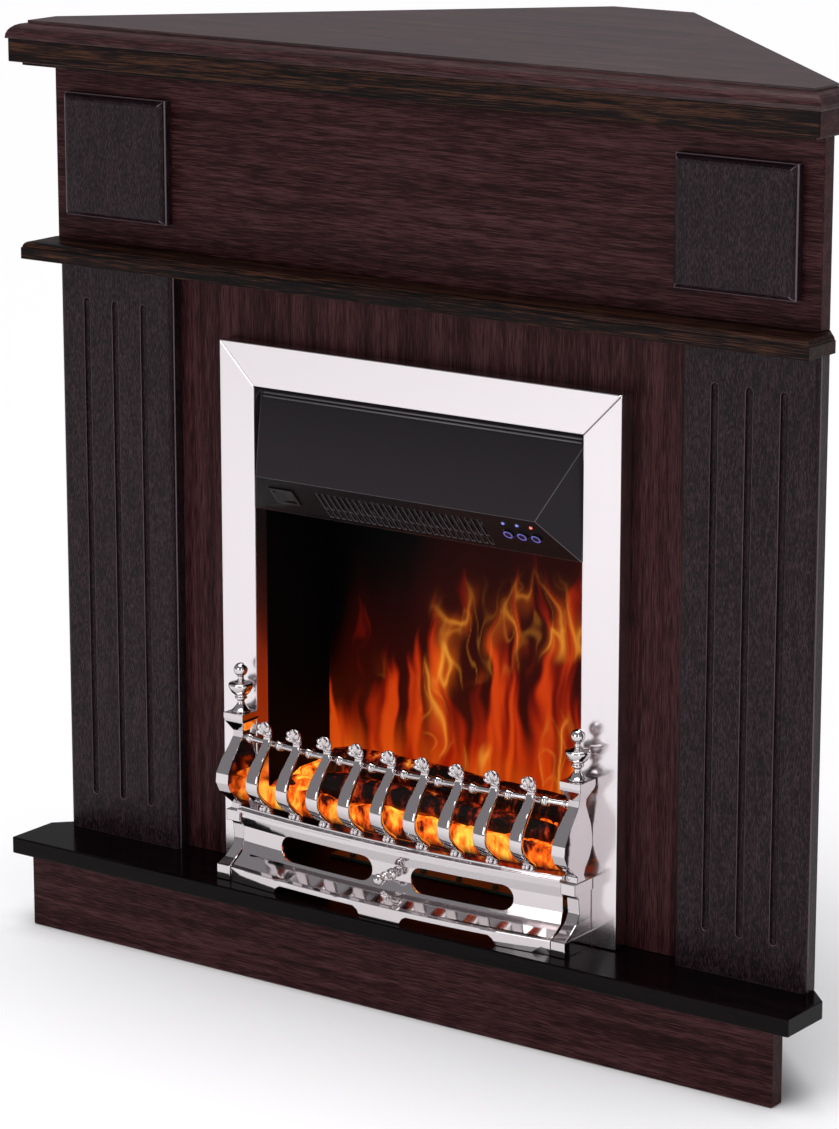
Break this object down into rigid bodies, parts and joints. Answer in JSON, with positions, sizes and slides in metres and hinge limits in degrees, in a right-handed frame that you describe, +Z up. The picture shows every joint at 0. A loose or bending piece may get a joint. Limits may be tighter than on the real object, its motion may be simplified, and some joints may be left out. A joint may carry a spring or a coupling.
{
  "type": "corner fireplace",
  "caption": "Corner fireplace: a dark veneered board surround with mantel, fluted pilasters and hearth around an electric flame insert with a chrome frame, hood and lift-away fret.",
  "frame": {"origin": "on the floor, below the middle of the width and of the whole depth", "axes": "+X to the right seen from the room, +Y into the room corner, +Z up; the front faces -Y"},
  "size_m": [0.968, 0.498, 0.968],
  "materials": {
    "wood_lengthwise": "dark wenge foil on board, grain along the length, satin",
    "wood_upright": "dark wenge foil on board, upright grain, satin",
    "wood_hearth": "near-black foil on board, half gloss",
    "chrome": "polished chrome plate",
    "black_sheet": "satin black paint",
    "zinc_sheet": "plain zinc-coated sheet",
    "black_plastic": "moulded black plastic",
    "button_plastic": "black plastic with a violet ring",
    "circuit_board": "lacquered circuit board",
    "foil": "bright foil",
    "smoked_screen": "smoked diffusing screen",
    "ember_resin": "translucent moulded coals",
    "log_resin": "painted moulded logs"
  },
  "bodies": {
    "root": {"plinth_front": "wood_lengthwise", "plinth_side_left": "wood_lengthwise", "plinth_side_right": "wood_lengthwise", "hearth_slab": "wood_hearth", "front_panel": "wood_upright", "side_panel_left": "wood_upright", "side_panel_right": "wood_upright", "rear_leg": "wood_upright", "shelf_board": "wood_lengthwise", "pilaster_left": "wood_upright", "pilaster_right": "wood_upright", "frieze_board": "wood_lengthwise", "frieze_block_left": "wood_upright", "frieze_block_right": "wood_upright", "mantel_slab": "wood_lengthwise", "cornice_front": "wood_lengthwise", "cornice_return_left": "wood_lengthwise", "cornice_return_right": "wood_lengthwise", "casing": "black_sheet", "cable_gland": "black_plastic", "frame_left": "chrome", "frame_right": "chrome", "frame_top": "chrome", "hood_cover": "black_sheet", "switch_body": "black_plastic", "control_board": "circuit_board", "heater_tray": "zinc_sheet", "heater_element": "zinc_sheet", "blower_housing": "zinc_sheet", "blower_motor": "black_sheet", "flame_screen": "smoked_screen", "rotor_motor": "zinc_sheet", "lamp_strip": "circuit_board", "ember_bed": "ember_resin", "log_back": "log_resin", "log_front": "log_resin"},
    "flame_rotor": {"flame_rotor": "foil"},
    "blower_impeller": {"blower_impeller": "zinc_sheet"},
    "power_rocker": {"power_rocker": "black_plastic"},
    "button_1": {"button_1": "button_plastic"},
    "button_2": {"button_2": "button_plastic"},
    "button_3": {"button_3": "button_plastic"},
    "fret": {"pedestal_left": "chrome", "pedestal_right": "chrome", "finial_left": "chrome", "finial_right": "chrome", "fret_ledge": "chrome", "fret_bar_1": "chrome", "fret_bar_2": "chrome", "fret_bar_3": "chrome", "fret_bar_4": "chrome", "fret_bar_5": "chrome", "fret_bar_6": "chrome", "fret_bar_7": "chrome", "fret_bar_8": "chrome", "fret_bar_9": "chrome", "fret_rail": "chrome"},
    "ash_cover": {"ash_cover": "chrome", "ash_knob": "chrome"}
  },
  "joints": [
    {"name": "flame_rotor_spin", "type": "hinge", "parent": "root", "child": "flame_rotor", "pos_m": [0, -0.023, 0.216], "axis": [1, 0, 0], "continuous": true},
    {"name": "blower_spin", "type": "hinge", "parent": "root", "child": "blower_impeller", "pos_m": [0, -0.053, 0.5204], "axis": [1, 0, 0], "continuous": true},
    {"name": "power_rocker_tilt", "type": "hinge", "parent": "root", "child": "power_rocker", "pos_m": [-0.146, -0.19666, 0.51067], "axis": [0, -0.6488, 0.761], "range_deg": [-14, 0]},
    {"name": "button_1_press", "type": "slide", "parent": "root", "child": "button_1", "axis": [0, 0.761, 0.6488], "range_m": [0, 0.002], "stiffness_N_per_m": 300, "springref_m": -0.002},
    {"name": "button_2_press", "type": "slide", "parent": "root", "child": "button_2", "axis": [0, 0.761, 0.6488], "range_m": [0, 0.002], "stiffness_N_per_m": 300, "springref_m": -0.002},
    {"name": "button_3_press", "type": "slide", "parent": "root", "child": "button_3", "axis": [0, 0.761, 0.6488], "range_m": [0, 0.002], "stiffness_N_per_m": 300, "springref_m": -0.002},
    {"name": "fret_pull", "type": "slide", "parent": "root", "child": "fret", "axis": [0, -1, 0], "range_m": [0, 0.05]},
    {"name": "ash_cover_pull", "type": "slide", "parent": "fret", "child": "ash_cover", "axis": [0, -1, 0], "range_m": [0, 0.06]}
  ]
}
